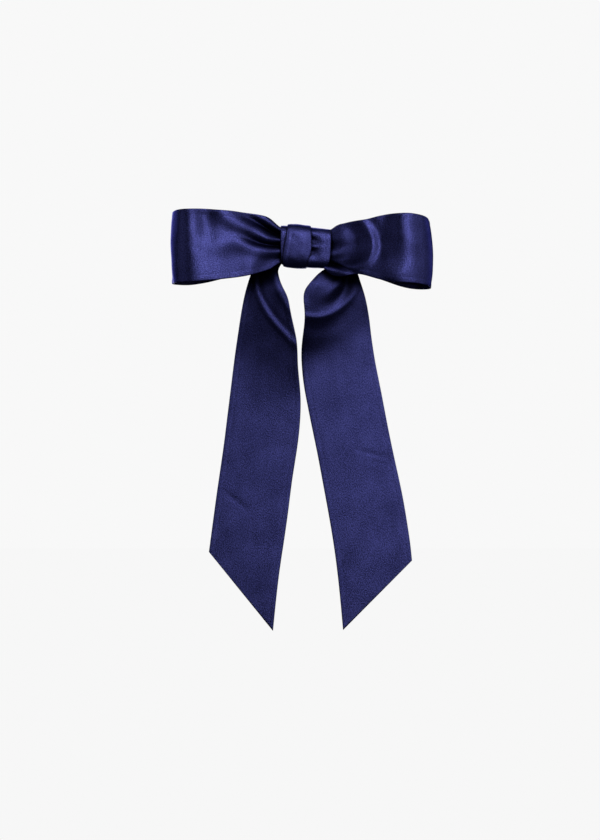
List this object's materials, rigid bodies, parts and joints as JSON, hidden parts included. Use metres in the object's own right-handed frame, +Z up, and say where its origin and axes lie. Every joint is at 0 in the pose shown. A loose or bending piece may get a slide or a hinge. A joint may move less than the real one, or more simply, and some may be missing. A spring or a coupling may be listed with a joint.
{
  "type": "hair bow",
  "caption": "Navy satin ribbon hair bow with two loops, two long slant-cut tails and a wrapped knot, on a spring barrette with a squeeze catch.",
  "frame": {"origin": "middle of the gap between tension strip and clasp arm, where the hair is held, behind the middle of the knot", "axes": "+Z up as the bow is worn, with the tails hanging towards -Z; +X along the bow to the viewer's right; -Y is the show side and +Y the side of the head"},
  "size_m": [0.1438, 0.0334, 0.2316],
  "materials": {
    "satin_ribbon": "navy satin ribbon, glossy face",
    "sewing_thread": "navy polyester thread",
    "nickel_steel": "nickel-plated stamped steel",
    "spring_steel": "nickel-plated spring steel",
    "pin_steel": "bright nickel"
  },
  "bodies": {
    "bow": {"loop_ribbon": "satin_ribbon", "knot_band": "satin_ribbon", "gathering_thread": "sewing_thread", "knot_stitches": "sewing_thread", "left_tail_pleats": "satin_ribbon", "right_tail_pleats": "satin_ribbon", "barrette_plate": "nickel_steel", "hinge_pin": "pin_steel", "tension_strip": "spring_steel", "catch_base": "nickel_steel", "rivets": "pin_steel"},
    "clasp_arm": {"clasp_arm": "nickel_steel"},
    "wing_upper": {"catch_wing_upper": "nickel_steel"},
    "wing_lower": {"catch_wing_lower": "nickel_steel"},
    "tail_left": {"left_tail": "satin_ribbon"},
    "tail_right": {"right_tail": "satin_ribbon"}
  },
  "joints": [
    {"name": "arm_hinge", "type": "hinge", "parent": "bow", "child": "clasp_arm", "pos_m": [-0.0355, 0.0017, 0], "axis": [0, 0, 1], "range_deg": [0, 75]},
    {"name": "upper_wing_squeeze", "type": "hinge", "parent": "bow", "child": "wing_upper", "pos_m": [0.0325, -0.00175, 0.00235], "axis": [1, 0, 0], "range_deg": [-8, 0], "stiffness_Nm_per_rad": 0.005},
    {"name": "lower_wing_squeeze", "type": "hinge", "parent": "bow", "child": "wing_lower", "pos_m": [0.0325, -0.00175, -0.00235], "axis": [1, 0, 0], "range_deg": [0, 8], "stiffness_Nm_per_rad": 0.005},
    {"name": "left_tail_swing", "type": "hinge", "parent": "bow", "child": "tail_left", "pos_m": [-0.0226, -0.0093, -0.0175], "axis": [1, 0, 0], "range_deg": [-60, 20]},
    {"name": "right_tail_swing", "type": "hinge", "parent": "bow", "child": "tail_right", "pos_m": [0.0166, -0.0093, -0.0175], "axis": [1, 0, 0], "range_deg": [-60, 20]}
  ],
  "couplings": [
    {"joint": "lower_wing_squeeze", "follows": "upper_wing_squeeze", "ratio": -1}
  ]
}
